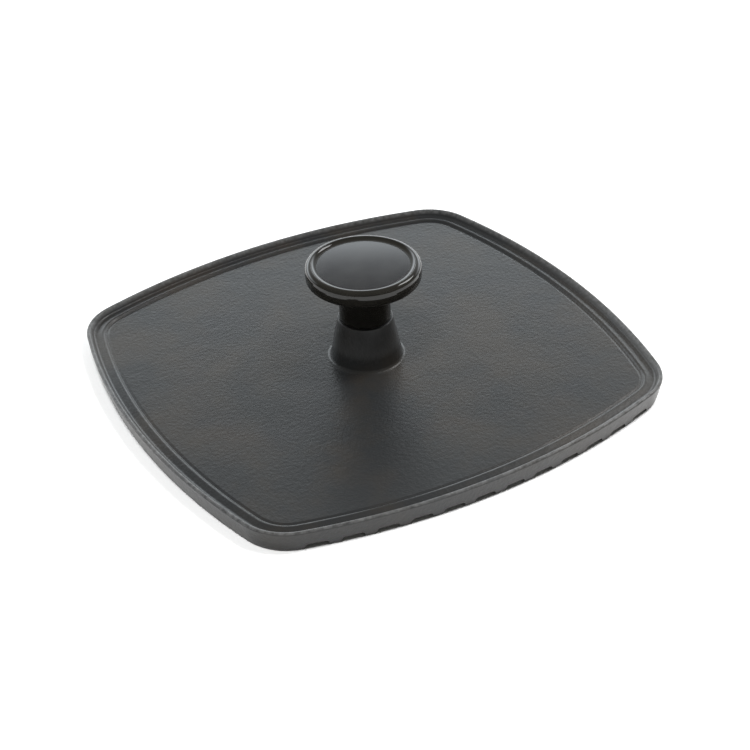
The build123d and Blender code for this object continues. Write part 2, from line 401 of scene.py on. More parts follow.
@dataclass(frozen=True)
class Section:
    """A section drawn as corners, some of them rounded.

    Points on an arc are arc_step apart at most. A straight that is long enough has one more
    point at a distance of hold from each end, and none with NO_HOLD. A corner that opens to
    flat_angle or more has no arc.
    """

    NO_HOLD = 1.0

    corners: tuple[Corner, ...]
    closed: bool = False
    arc_step: float = math.radians(7.5)
    hold: float = 0.25 * MM
    flat_angle: float = math.radians(179)

    def points(self) -> list[Point]:
        """Points along the section.

        The points near the ends of a long straight keep its shading flat.

        Returns:
            (reach, height) points in order.
        """
        stops: list[Point] = []
        count = len(self.corners)
        for i, corner in enumerate(self.corners):
            here = Vector((corner.reach, corner.height))
            at_end = not self.closed and i in (0, count - 1)
            if corner.radius <= 0 or at_end:
                stops.append(tuple(here))
                continue
            before = self._toward(i, -1)
            after = self._toward(i, 1)
            stops.extend(self._round(here, before, after, corner.radius))
        return self._with_holds(stops)

    def _toward(self, i: int, step: int) -> Vector:
        """Unit direction from one corner to its neighbour.

        Args:
            i: The corner's number.
            step: 1 for the next corner and -1 for the one before.

        Returns:
            The direction.
        """
        other = self.corners[(i + step) % len(self.corners)]
        here = self.corners[i]
        return Vector((other.reach - here.reach, other.height - here.height)).normalized()

    def _round(self, here: Vector, before: Vector, after: Vector, radius: float) -> list[Point]:
        """Points of the arc that rounds one corner.

        Args:
            here: The corner.
            before: Unit direction to the corner before it.
            after: Unit direction to the corner after it.
            radius: The arc's radius.

        Returns:
            The arc's points, tangent point to tangent point.
        """
        half = before.angle(after) / 2
        if half > self.flat_angle / 2:
            return [tuple(here)]
        setback = radius / math.tan(half)
        middle = here + (before + after).normalized() * (radius / math.sin(half))
        start = here + before * setback - middle
        sweep = math.pi - 2 * half
        cross = before.x * after.y - before.y * after.x
        sign = 1.0 if cross < 0 else -1.0
        steps = max(2, math.ceil(sweep / self.arc_step))
        made = []
        for k in range(steps + 1):
            spoke = Matrix.Rotation(sign * sweep * k / steps, 2) @ start
            made.append(tuple(middle + spoke))
        return made

    def _with_holds(self, stops: Sequence[Point]) -> list[Point]:
        """Add a point near each end of every long straight.

        Args:
            stops: The section's points.

        Returns:
            The points, with the added ones between them.
        """
        pairs = list(zip(stops, stops[1:]))
        if self.closed:
            pairs.append((stops[-1], stops[0]))
        made: list[Point] = []
        for a, b in pairs:
            made.append(a)
            start, end = Vector(a), Vector(b)
            if (end - start).length > 3.5 * self.hold:
                step = (end - start).normalized() * self.hold
                made += [tuple(start + step), tuple(end - step)]
        if not self.closed:
            made.append(stops[-1])
        return made


def bowed(start: Point, end: Point, sag: float, steps: int = 12) -> list[Corner]:
    """Corners along a shallow bow between two points, without its ends.

    Args:
        start: First end.
        end: Last end.
        sag: How far the bow stands to the left of the straight line, seen from its start.
        steps: Number of straight pieces.

    Returns:
        The corners between the ends.
    """
    a, b = Vector(start), Vector(end)
    along = b - a
    left = Vector((-along.y, along.x)).normalized()
    made = []
    for k in range(1, steps):
        t = k / steps
        place = a + along * t + left * (4 * sag * t * (1 - t))
        made.append(Corner(place.x, place.y))
    return made


def new_piece(name: str, form: bmesh.types.BMesh, sharp: float = 32.0) -> bpy.types.Object:
    """Make an object from a bmesh, smooth apart from its sharp edges.

    Args:
        name: The piece's name.
        form: The mesh, which is freed.
        sharp: Angle in degrees from which an edge shades as an edge.

    Returns:
        The object, at the origin.
    """
    bmesh.ops.recalc_face_normals(form, faces=form.faces)
    mesh = bpy.data.meshes.new(name)
    form.to_mesh(mesh)
    form.free()
    mesh.shade_smooth()
    mesh.set_sharp_from_angle(angle=math.radians(sharp))
    piece = bpy.data.objects.new(name, mesh)
    bpy.context.scene.collection.objects.link(piece)
    return piece


def ring_faces(form: bmesh.types.BMesh, a: Sequence[Any], b: Sequence[Any]) -> None:
    """Join two rings of vertices with faces. A ring of one vertex is a pole.

    Args:
        form: The mesh.
        a: The first ring.
        b: The second ring.
    """
    count = max(len(a), len(b))
    for k in range(count):
        nxt = (k + 1) % count
        corners = [a[k % len(a)], a[nxt % len(a)], b[nxt % len(b)], b[k % len(b)]]
        kept = [v for i, v in enumerate(corners) if v not in corners[:i]]
        if len(kept) > 2:
            form.faces.new(kept)


def turned(name: str, points: Sequence[Point], segments: int, closed: bool = False) -> bpy.types.Object:
    """A solid turned about Z from a half section.

    Args:
        name: The piece's name.
        points: (radius, height) points. A radius of 0 makes a pole.
        segments: Faces round the shape.
        closed: Join the last point to the first.

    Returns:
        The object.
    """
    form = bmesh.new()
    rows = []
    for radius, height in points:
        if radius < TINY:
            rows.append([form.verts.new((0.0, 0.0, height))])
            continue
        row = []
        for k in range(segments):
            angle = math.tau * k / segments
            row.append(form.verts.new((radius * math.cos(angle), radius * math.sin(angle), height)))
        rows.append(row)
    for a, b in zip(rows, rows[1:]):
        ring_faces(form, a, b)
    if closed:
        ring_faces(form, rows[-1], rows[0])
    return new_piece(name, form)


def solid_of_rows(name: str, rows: Sequence[Sequence[Place]]) -> bpy.types.Object:
    """A solid with a skin from row to row of points and a face at each end.

    Args:
        name: The piece's name.
        rows: The rows, each once round the shape.

    Returns:
        The object.
    """
    form = bmesh.new()
    made = [[form.verts.new(place) for place in row] for row in rows]
    for a, b in zip(made, made[1:]):
        ring_faces(form, a, b)
    form.faces.new(made[0])
    form.faces.new(made[-1])
    return new_piece(name, form)


def wall_points(radius: float, start: float, end: float, step: float) -> list[Point]:
    """Evenly spaced points up or down a round wall.

    Args:
        radius: The wall's radius.
        start: Height of the first point.
        end: Height of the last point.
        step: About how far apart the points are.

    Returns:
        (radius, height) points.
    """
    count = max(1, round(abs(end - start) / step))
    return [(radius, start + (end - start) * k / count) for k in range(count + 1)]


# ---- Finishes -----------------------------------------------------------------


@dataclass(frozen=True)
class Finish:
    """A finish, which makes one material."""

    name: str = "finish"

    def build(self) -> bpy.types.Material:
        """Make the material, with patterns that follow the place on the piece in metres.

        Returns:
            The material.
        """
        material = bpy.data.materials.new(self.name)
        material.use_nodes = True
        material.node_tree.nodes.clear()
        board = Board(material.node_tree)
        place = board.wire("ShaderNodeTexCoord", output="Object")
        shader = board.add("ShaderNodeBsdfPrincipled", inputs=self.dress(board, place))
        board.add("ShaderNodeOutputMaterial", inputs={"Surface": shader.outputs[0]})
        return material

    def dress(self, board: Board, place: Wire) -> Inputs:
        """The shader's inputs.

        Args:
            board: The material's board.
            place: The place on the piece.

        Returns:
            A value or a link for each socket that differs from the default.
        """
        raise NotImplementedError

    @staticmethod
    def noise(board: Board, place: Wire, size: float, detail: float = 3.0, rough: float = 0.5) -> Wire:
        """A cloudy value from 0 to 1.

        Args:
            board: The board.
            place: Where it is read.
            size: Size of its patches, in metres.
            detail: Number of finer layers.
            rough: Strength of the finer layers.

        Returns:
            The value.
        """
        inputs = {"Vector": place, "Scale": 1.0 / size, "Detail": detail, "Roughness": rough}
        return board.wire("ShaderNodeTexNoise", inputs=inputs)

    @staticmethod
    def blend(board: Board, share: Value, first: Wire | Colour, second: Wire | Colour) -> Wire:
        """A colour between two colours.

        Args:
            board: The board.
            share: The second colour's share.
            first: The colour at a share of 0.
            second: The colour at a share of 1.

        Returns:
            The colour.
        """
        start, end = ((*c, 1.0) if isinstance(c, tuple) else c for c in (first, second))
        return board.wire("ShaderNodeMix", {"data_type": "RGBA"}, {0: share, 6: start, 7: end}, 2)

    @staticmethod
    def relief(board: Board, height: Wire, depth: float, under: Value | None = None) -> Wire:
        """A bump from a height between 0 and 1.

        Args:
            board: The board.
            height: The height.
            depth: What a height of 1 stands for, in metres.
            under: A bump that this one lies on.

        Returns:
            The surface direction.
        """
        inputs: Inputs = {"Strength": 1.0, "Distance": depth, "Height": height}
        if under is not None:
            inputs["Normal"] = under
        return board.wire("ShaderNodeBump", inputs=inputs)


@dataclass(frozen=True)
class EnamelledIron(Finish):
    """Satin black enamel over a sand casting: leathery grain, faint brown clouds, rubbed rib crests,
    and wear mixed with a painted sheen on the up-facing rim.
    """

    name: str = "enamelled_iron"
    cool: Colour = (0.0145, 0.0152, 0.0158)
    warm: Colour = (0.0225, 0.0188, 0.0150)
    rubbed: Colour = (0.070, 0.062, 0.054)
    # Light grey for the boss's chalky tone, and for the painted sheen with wear on the rim's up-facing
    # faces.
    chalky_tone_and_sheen: Colour = (0.115, 0.115, 0.115)
    roughness: float = 0.33
    ior: float = 1.41
    cloud_size: float = 38 * MM
    leather_size: float = 1.8 * MM
    grain_size: float = 0.9 * MM
    swell_size: float = 9 * MM
    leather_depth: float = 0.09 * MM
    grain_depth: float = 0.012 * MM
    swell_depth: float = 0.06 * MM
    rib_wear_height: float = 0.35 * MM
    boss_start: float = 13 * MM
    boss_fade: float = 3 * MM
    boss_smoothness: float = 0.8
    # Heights of the rim band that gets the painted sheen with wear.
    rim_start: float = 8.3 * MM
    rim_end: float = 11 * MM

    def dress(self, board: Board, place: Wire) -> Inputs:
        """The shader's inputs.

        Args:
            board: The material's board.
            place: The place on the piece.

        Returns:
            A value or a link for each socket.
        """
        cloud = self.noise(board, place, self.cloud_size, 4.0, 0.6)
        stain = cloud.rise(0.42, 0.25)
        speck = self.noise(board, place, self.leather_size, 2.0, 0.5)
        grain = self.noise(board, place, self.grain_size, 1.0)
        swell = self.noise(board, place, self.swell_size, 2.0)
        _, _, height = board.split(place)
        _, _, facing = board.split(board.wire("ShaderNodeNewGeometry", output="Normal"))
        rib_wear = height.rise(self.rib_wear_height, -self.rib_wear_height) * speck.rise(0.40, 0.20)
        boss = height.rise(self.boss_start, self.boss_fade) * self.boss_smoothness
        # Painted sheen with wear: the rim's up-facing faces turn light grey in speckles, as if lit from
        # above.
        rim = height.rise(self.rim_start, 1.2 * MM) * height.rise(self.rim_end, -0.5 * MM)
        rim_wear_and_painted_sheen = rim * facing.rise(0.2, 1 / 3) * speck.rise(0.125, 0.625)
        base = self.blend(board, stain * 0.8 + (grain - 0.5) * 0.25, self.cool, self.warm)
        base = self.blend(board, rib_wear * 0.55, base, self.rubbed)
        # Mixes in the painted sheen with wear on the rim tops, and the boss's chalky tone.
        base = self.blend(board, rim_wear_and_painted_sheen * 0.75 + boss * 0.22, base, self.chalky_tone_and_sheen)
        rough = self.roughness + (speck - 0.5) * 0.06 + (cloud - 0.5) * 0.12 - rib_wear * 0.08
        bump = self.relief(board, swell, self.swell_depth)
        bump = self.relief(board, speck * (1.0 - boss), self.leather_depth, bump)
        bump = self.relief(board, grain, self.grain_depth, bump)
        return {"Base Color": base, "Roughness": rough, "Normal": bump, "IOR": self.ior}


@dataclass(frozen=True)
class Phenolic(Finish):
    """Polished black phenolic, with fine handling marks."""

    name: str = "polished_phenolic"
    colour: Colour = (0.0105, 0.0098, 0.0082)
    haze: Colour = (0.0145, 0.0135, 0.0115)
    roughness: float = 0.035
    ior: float = 1.42
    smear_size: float = 9 * MM
    mark_size: float = 0.6 * MM
    mark_depth: float = 0.0008 * MM
    swell_size: float = 5 * MM
    swell_depth: float = 0.012 * MM

    def dress(self, board: Board, place: Wire) -> Inputs:
        """The shader's inputs.

        Args:
            board: The material's board.
            place: The place on the piece.

        Returns:
            A value or a link for each socket.
        """
        smear = self.noise(board, place, self.smear_size, 4.0, 0.65)
        marks = self.noise(board, place, self.mark_size, 2.0)
        swell = self.noise(board, place, self.swell_size, 1.0)
        base = self.blend(board, smear.rise(0.4, 0.5), self.colour, self.haze)
        rough = self.roughness + smear.rise(0.5, 1.0) * 0.25 + (marks - 0.5) * 0.03
        bump = self.relief(board, swell, self.swell_depth)
        bump = self.relief(board, marks, self.mark_depth, bump)
        return {"Base Color": base, "Roughness": rough, "Normal": bump, "IOR": self.ior}


@dataclass(frozen=True)
class SatinDisc(Finish):
    """Satin black disc with a fine moulded grain."""

    name: str = "satin_disc"
    colour: Colour = (0.012, 0.012, 0.013)
    light: Colour = (0.018, 0.018, 0.018)
    roughness: float = 0.21
    ior: float = 1.38
    cloud_size: float = 7 * MM
    grain_size: float = 0.25 * MM
    grain_depth: float = 0.003 * MM

    def dress(self, board: Board, place: Wire) -> Inputs:
        """The shader's inputs.

        Args:
            board: The material's board.
            place: The place on the piece.

        Returns:
            A value or a link for each socket.
        """
        cloud = self.noise(board, place, self.cloud_size)
        grain = self.noise(board, place, self.grain_size, 2.0)
        base = self.blend(board, cloud.rise(0.35, 0.5), self.colour, self.light)
        rough = self.roughness + (cloud - 0.5) * 0.12 + (grain - 0.5) * 0.08
        bump = self.relief(board, grain, self.grain_depth)
        return {"Base Color": base, "Roughness": rough, "Normal": bump, "IOR": self.ior}


@dataclass(frozen=True)
class TurnedMetal(Finish):
    """Bright metal with turning marks round Z, dulled in patches."""

    name: str = "turned_metal"
    colour: Colour = (0.55, 0.55, 0.54)
    dull: Colour = (0.34, 0.33, 0.32)
    roughness: float = 0.26
    cloud_size: float = 2.5 * MM
    mark_pitch: float = 0.16 * MM
    mark_depth: float = 0.004 * MM
    fine_size: float = 0.12 * MM
    fine_depth: float = 0.002 * MM

    def dress(self, board: Board, place: Wire) -> Inputs:
        """The shader's inputs.

        Args:
            board: The material's board.
            place: The place on the piece.

        Returns:
            A value or a link for each socket.
        """
        x, y, z = board.split(place)
        cloud = self.noise(board, place, self.cloud_size, 4.0, 0.6)
        fine = self.noise(board, place, self.fine_size, 2.0)
        marks = ((board.reach(x, y) + z) / self.mark_pitch + cloud * 0.8).zigzag()
        base = self.blend(board, cloud.rise(0.42, 1 / 3), self.colour, self.dull)
        rough = self.roughness + (cloud - 0.5) * 0.20 + (fine - 0.5) * 0.10
        bump = self.relief(board, marks, self.mark_depth)
        bump = self.relief(board, fine, self.fine_depth, bump)
        return {"Base Color": base, "Roughness": rough, "Normal": bump, "Metallic": 1.0}


@dataclass(frozen=True)
class StudioPaper(Finish):
    """White paper sweep under the press."""

    name: str = "studio_paper"
    colour: Colour = (0.93, 0.93, 0.93)
    shade: Colour = (0.90, 0.90, 0.90)
    roughness: float = 0.9
    fibre_size: float = 1.5 * MM
    fibre_depth: float = 0.02 * MM

    def dress(self, board: Board, place: Wire) -> Inputs:
        """The shader's inputs.

        Args:
            board: The material's board.
            place: The place on the piece.

        Returns:
            A value or a link for each socket.
        """
        fibre = self.noise(board, place, self.fibre_size)
        base = self.blend(board, fibre, self.colour, self.shade)
        bump = self.relief(board, fibre, self.fibre_depth)
        return {"Base Color": base, "Roughness": self.roughness, "Normal": bump}


# ---- Trees that cut a row, thread, knurl and roughen --------------------------------


def repeat_cut_tree() -> ShapeTree:
    """A tree that cuts a row of the same tool out of a shape, apart from a guarded part.

    Returns:
        The tree.
    """
    tree = ShapeTree("repeat_cut")
    pitch = tree.ask("Pitch")
    count = tree.ask("Count", "count")
    tool = tree.ask("Tool", "object")
    guard = tree.ask("Guard", "object")
    step = tree.wire("ShaderNodeCombineXYZ", inputs={0: pitch})
    half = (count - 1.0) * pitch * -0.5
    start = tree.wire("ShaderNodeCombineXYZ", inputs={0: half})
    line = tree.wire(
        "GeometryNodeMeshLine",
        {"mode": "OFFSET"},
        {"Count": count, "Start Location": start, "Offset": step},
    )
    tool_shape = tree.wire("GeometryNodeObjectInfo", inputs={"Object": tool}, output="Geometry")
    row = tree.wire("GeometryNodeInstanceOnPoints", inputs={"Points": line, "Instance": tool_shape})
    row = tree.wire("GeometryNodeRealizeInstances", inputs={0: row})
    guard_shape = tree.wire("GeometryNodeObjectInfo", inputs={"Object": guard}, output="Geometry")
    cut = {"operation": "DIFFERENCE", "solver": "MANIFOLD"}
    row = tree.wire("GeometryNodeMeshBoolean", cut, {"Mesh 1": row, "Mesh 2": guard_shape})
    shape = tree.wire("GeometryNodeMeshBoolean", cut, {"Mesh 1": tree.shape, "Mesh 2": row})
    tree.close(shape)
    return tree


def thread_tree() -> ShapeTree:
    """A tree that presses a right-hand thread into a round wall about Z.

    Returns:
        The tree.
    """
    tree = ShapeTree("thread")
    pitch, depth, start, end, lead = tree.ask_sizes("Pitch", "Depth", "Start", "End", "Lead")
    inner, outer, width = tree.ask_sizes("Least Radius", "Greatest Radius", "Width")
    x, y, z = tree.split(tree.wire("GeometryNodeInputPosition"))
    reach = tree.reach(x, y)
    wave = (z / pitch - tree.turn(x, y)).zigzag()
    groove = ((wave - 1.0 + width) / width * 1.2).held()
    on_wall = reach.above(inner) * reach.below(outer)
    tree.close_pressed(x, y, groove * z.between(start, end, lead) * on_wall * depth)
    return tree


def knurl_tree() -> ShapeTree:
    """A tree that presses a diamond knurl into a round wall about Z.

    Returns:
        The tree.
    """
    tree = ShapeTree("knurl")
    starts, rise, depth = tree.ask_sizes("Starts", "Rise", "Depth")
    inner, low, high = tree.ask_sizes("Least Radius", "Low", "High")
    x, y, z = tree.split(tree.wire("GeometryNodeInputPosition"))
    reach = tree.reach(x, y)
    around = tree.turn(x, y) * starts
    left = (around + z / rise).zigzag()
    right = (around - z / rise).zigzag()
    pressed = 1.0 - (left.least(right) * 1.8).held()
    here = reach.above(inner) * z.above(low) * z.below(high)
    tree.close_pressed(x, y, pressed * here * depth)
    return tree


def cast_skin_tree() -> ShapeTree:
    """A tree that gives a casting's faces their slight waviness, between two heights.

    Returns:
        The tree.
    """
    tree = ShapeTree("cast_skin")
    size, depth, low, high = tree.ask_sizes("Size", "Depth", "Low", "High")
    seed, fade = tree.ask_sizes("Seed", "Fade")
    place = tree.wire("GeometryNodeInputPosition")
    _, _, z = tree.split(place)
    inputs = {"Vector": place, "W": seed, "Scale": 1.0 / size, "Detail": 1.0}
    wave = tree.wire("ShaderNodeTexNoise", {"noise_dimensions": "4D"}, inputs)
    push = (wave - 0.62) * depth * z.between(low, high, fade)
    normal = tree.wire("GeometryNodeInputNormal")
    scaled = {0: normal, "Scale": push}
    tree.close_moved(tree.wire("ShaderNodeVectorMath", {"operation": "SCALE"}, scaled))
    return tree


# ---- Putting a piece in the model --------------------------------------------------


def cut_row(
    piece: bpy.types.Object,
    material: bpy.types.Material,
    tool: bpy.types.Object,
    guard: bpy.types.Object,
    pitch: float = 1.0,
    count: int = 1,
) -> None:
    """Cut a row of a tool out of a piece, and drop the tool and its guard.

    Args:
        piece: The piece to cut.
        material: The finish it leaves with.
        tool: What each cut takes away.
        guard: What no cut reaches.
        pitch: Distance between the cuts, along X.
        count: Number of cuts.
    """
    repeat_cut_tree().shape_piece(piece, material, Pitch=pitch, Count=count, Tool=tool, Guard=guard)
    for spare in (tool, guard):
        bpy.data.objects.remove(spare)


def seat(piece: bpy.types.Object, body: Body, node: str) -> bpy.types.Object:
    """Put a finished piece on its body in place of a CAD node.

    Args:
        piece: The piece.
        body: The body it rides on.
        node: The CAD node it stands for.

    Returns:
        The piece.
    """
    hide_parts(node)
    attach(piece, body.value)
    return piece


def report(pieces: Iterable[bpy.types.Object]) -> None:
    """Write one log line for each piece.

    Args:
        pieces: The pieces.
    """
    for piece in pieces:
        size = [round(1000 * v, 1) for v in piece.dimensions]
        LOG.info("%s: %d faces, %s mm", piece.name, len(piece.data.polygons), size)


# ---- The casting -----------------------------------------------------------------


@dataclass
class PressPlate:
    """The enamelled casting: bowed outline, raised rim with a bead inside it, boss and ribs."""

    bow_radius: float = 298 * MM
    corner_radius: float = 25 * MM
    side_steps: int = 60
    corner_steps: int = 26
    floor_height: float = 7.4 * MM
    rim_rise: float = 2.7 * MM
    wall_draft: float = 12.0
    foot_round: float = 0.8 * MM
    rim_outer_round: float = 0.8 * MM
    rim_land: float = 0.2 * MM
    rim_inner_round: float = 1.0 * MM
    rim_slope: float = 55.0
    gutter_depth: float = 0.1 * MM
    gutter_round: float = 1.5 * MM
    bead_rise: float = 0.7 * MM
    bead_outer_slope: float = 13.0
    bead_width: float = 0.8 * MM
    bead_inner_slope: float = 45.0
    bead_round: float = 1.4 * MM
    quirk_depth: float = 0.35 * MM
    quirk_slope: float = 15.0
    quirk_round: float = 0.5 * MM
    floor_edge_round: float = 1.0 * MM
    floor_margin: float = 2.5 * MM
    floor_rings: int = 16
    rib_pitch: float = 14.3 * MM
    groove_count: int = 12
    groove_mouth: float = 11.0 * MM
    groove_depth: float = 2.6 * MM
    groove_slope: float = 30.0
    groove_root_round: float = 0.9 * MM
    rib_edge_round: float = 0.7 * MM
    boss_rise: float = 20.2 * MM
    boss_top_radius: float = 12.2 * MM
    boss_taper: float = 11.5
    boss_fillet: float = 1.8 * MM
    boss_top_round: float = 0.5 * MM
    boss_web: float = 13.6 * MM
    well_radius: float = 8.5 * MM
    well_edge_round: float = 0.6 * MM
    pad_width: float = 5.0 * MM
    screw_hole_radius: float = 3.3 * MM
    hole_edge_round: float = 0.3 * MM
    skin_wave: float = 22 * MM
    skin_depth: float = 0.10 * MM
    skin_fade: float = 2 * MM
    skin_seed: float = 3.0
    edge_angle: float = 38.0
    edge_weight: int = 60

    def build(self, finish: Finish) -> list[bpy.types.Object]:
        """Build the casting.

        Args:
            finish: Its finish.

        Returns:
            The piece, in a list.
        """
        material = finish.build()
        low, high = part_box("press_plate")
        plate = self._blank(high.x - low.x, high.y - low.y)
        cast_skin_tree().shape_piece(
            plate,
            material,
            Size=self.skin_wave,
            Depth=self.skin_depth,
            Low=self.skin_fade / 2,
            High=self.floor_height + self.rim_rise + 2 * self.skin_fade,
            Seed=self.skin_seed,
            Fade=self.skin_fade,
        )
        tool = self._groove_tool(high.y - low.y)
        cut_row(plate, material, tool, self._pad_guard(), self.rib_pitch, self.groove_count)
        self._settle_shading(plate)
        seat(plate, Body.PRESS, "press_plate")
        return [plate]

    def _outline(self, length: float, width: float) -> list[tuple[Vector, Vector]]:
        """Points round the outline, each with its outward direction.

        Args:
            length: Widest size along X.
            width: Widest size along Y.

        Returns:
            (point, direction) pairs, anticlockwise from the middle of the +X side.
        """
        side_x = length / 2 - self.bow_radius
        side_y = width / 2 - self.bow_radius
        gap = math.hypot(side_x, side_y)
        across = math.sqrt((self.bow_radius - self.corner_radius) ** 2 - (gap / 2) ** 2)
        corner = Vector((side_x / 2 - across * side_y / gap, side_y / 2 - across * side_x / gap))
        turn_in = math.atan2(corner.y, corner.x - side_x)
        turn_out = math.atan2(corner.y - side_y, corner.x)
        opposite = Vector((-corner.x, corner.y))
        arcs = []
        for sign, spin in ((1, 0.0), (-1, math.pi)):
            back = spin + math.pi
            arcs += [
                (Vector((side_x, 0)) * sign, self.bow_radius, spin - turn_in, spin + turn_in),
                (corner * sign, self.corner_radius, spin + turn_in, spin + turn_out),
                (Vector((0, side_y)) * sign, self.bow_radius, spin + turn_out, back - turn_out),
                (opposite * sign, self.corner_radius, back - turn_out, back - turn_in),
            ]
        made = []
        for centre, radius, start, end in arcs:
            steps = self.side_steps if radius > self.corner_radius else self.corner_steps
            for k in range(steps):
                angle = start + (end - start) * k / steps
                spoke = Vector((math.cos(angle), math.sin(angle)))
                made.append((centre + spoke * radius, spoke))
        return made

    def _rim_section(self) -> Section:
        """The rim's section, from the foot of the wall over the rim and the bead to the floor.

        Returns:
            The section, as distances in from the outline.
        """
        lean = math.radians(self.wall_draft)
        top = self.floor_height + self.rim_rise
        touch_inset = self.rim_outer_round * (1 - math.cos(lean))
        touch_height = top - self.rim_outer_round * (1 + math.sin(lean))
        foot = touch_inset + touch_height * math.tan(lean)
        head = touch_inset - (top - touch_height) * math.tan(lean)
        rim_slope = math.tan(math.radians(self.rim_slope))
        gutter = self.floor_height - self.gutter_depth
        bead = self.floor_height + self.bead_rise
        quirk = self.floor_height - self.quirk_depth
        shoulder = self.rim_outer_round + self.rim_land
        shoulder += self.rim_inner_round * math.tan(math.radians(self.rim_slope / 2))
        gutter_in = shoulder + (top - gutter) / rim_slope
        bead_in = gutter_in + (bead - gutter) / math.tan(math.radians(self.bead_outer_slope))
        bead_out = bead_in + self.bead_width
        quirk_in = bead_out + (bead - quirk) / math.tan(math.radians(self.bead_inner_slope))
        floor_in = quirk_in + self.quirk_depth / math.tan(math.radians(self.quirk_slope))
        band = floor_in + self.floor_margin
        return Section((
            Corner(band, 0),
            Corner(foot, 0, self.foot_round),
            Corner(head, top, self.rim_outer_round),
            Corner(shoulder, top, self.rim_inner_round),
            Corner(gutter_in, gutter, self.gutter_round),
            Corner(bead_in, bead, self.bead_round),
            Corner(bead_out, bead, self.bead_round),
            Corner(quirk_in, quirk, self.quirk_round),
            Corner(floor_in, self.floor_height, self.floor_edge_round),
            Corner(band, self.floor_height),
        ))

    def _boss_section(self) -> Section:
        """The boss from its skirt on the floor, over the top, down the screw hole to the well's mouth.

        Returns:
            The section, as distances out from the axis.
        """
        top = self.floor_height + self.boss_rise
        foot = self.boss_top_radius + self.boss_rise * math.tan(math.radians(self.boss_taper))
        roof = top - self.boss_web
        return Section((
            Corner(foot + 2 * self.boss_fillet, self.floor_height),
            Corner(foot, self.floor_height, self.boss_fillet),
            Corner(self.boss_top_radius, top, self.boss_top_round),
            Corner(self.screw_hole_radius, top, self.hole_edge_round),
            Corner(self.screw_hole_radius, roof),
            Corner(self.well_radius, roof, self.well_edge_round),
            Corner(self.well_radius, 0, self.well_edge_round),
            Corner(self.well_radius + self.pad_width, 0),
        ))

    def _blank(self, length: float, width: float) -> bpy.types.Object:
        """The plate before its grooves are cut, as rings from the rim to the well.

        Args:
            length: Widest size along X.
            width: Widest size along Y.

        Returns:
            The piece.
        """
        outline = self._outline(length, width)
        rim = self._rim_section().points()
        boss = self._boss_section().points()
        form = bmesh.new()
        rings = []
        for inset, height in rim:
            rings.append([form.verts.new((*(p - d * inset), height)) for p, d in outline])
        band = [p - d * rim[-1][0] for p, d in outline]
        spokes = [p.normalized() for p in band]
        for k in range(1, self.floor_rings):
            share = k / self.floor_rings
            ring = [p.lerp(s * boss[0][0], share) for p, s in zip(band, spokes)]
            rings.append([form.verts.new((*p, boss[0][1])) for p in ring])
        for radius, height in boss:
            rings.append([form.verts.new((*(s * radius), height)) for s in spokes])
        for a, b in zip(rings, rings[1:] + rings[:1]):
            ring_faces(form, a, b)
        return new_piece("press_casting", form)

    def _groove_tool(self, reach: float) -> bpy.types.Object:
        """The tool that cuts one groove and softens the rib edges beside it.

        Args:
            reach: How far it runs each way along Y.

        Returns:
            The tool.
        """
        lean = math.tan(math.radians(self.groove_slope))
        mouth = self.groove_mouth / 2
        root = mouth - self.groove_depth * lean
        flare = 1.2 * self.rib_edge_round
        drop = flare * math.tan(math.radians(12))
        ease = 0.35 * self.rib_edge_round
        below = -drop - 2 * MM
        section = Section(
            (
                Corner(-mouth - flare, below),
                Corner(mouth + flare, below),
                Corner(mouth + flare, -drop),
                Corner(mouth - 0.2 * ease, ease * 0.6, self.rib_edge_round),
                Corner(root, self.groove_depth, self.groove_root_round),
                Corner(-root, self.groove_depth, self.groove_root_round),
                Corner(-mouth + 0.2 * ease, ease * 0.6, self.rib_edge_round),
                Corner(-mouth - flare, -drop),
            ),
            closed=True,
            arc_step=math.radians(12),
            hold=Section.NO_HOLD,
        )
        ends = [[(x, y, z) for x, z in section.points()] for y in (-reach, reach)]
        return solid_of_rows("groove_tool", ends)

    def _pad_guard(self) -> bpy.types.Object:
        """The round land about the well's mouth, which no groove cuts.

        Returns:
            The land.
        """
        radius = self.well_radius + self.pad_width
        reach = self.floor_height
        return turned("pad_guard", [(0, -reach), (radius, -reach), (radius, reach), (0, reach)], 96)

    def _settle_shading(self, plate: bpy.types.Object) -> None:
        """Shade flats flat and rounds round after the cuts.

        Args:
            plate: The plate.
        """
        plate.data.shade_smooth()
        plate.data.set_sharp_from_angle(angle=math.radians(self.edge_angle))
        settle = plate.modifiers.new("settle", "WEIGHTED_NORMAL")
        settle.keep_sharp = True
        settle.weight = self.edge_weight
        freeze(plate)


# ---- The knob ---------------------------------------------------------------------


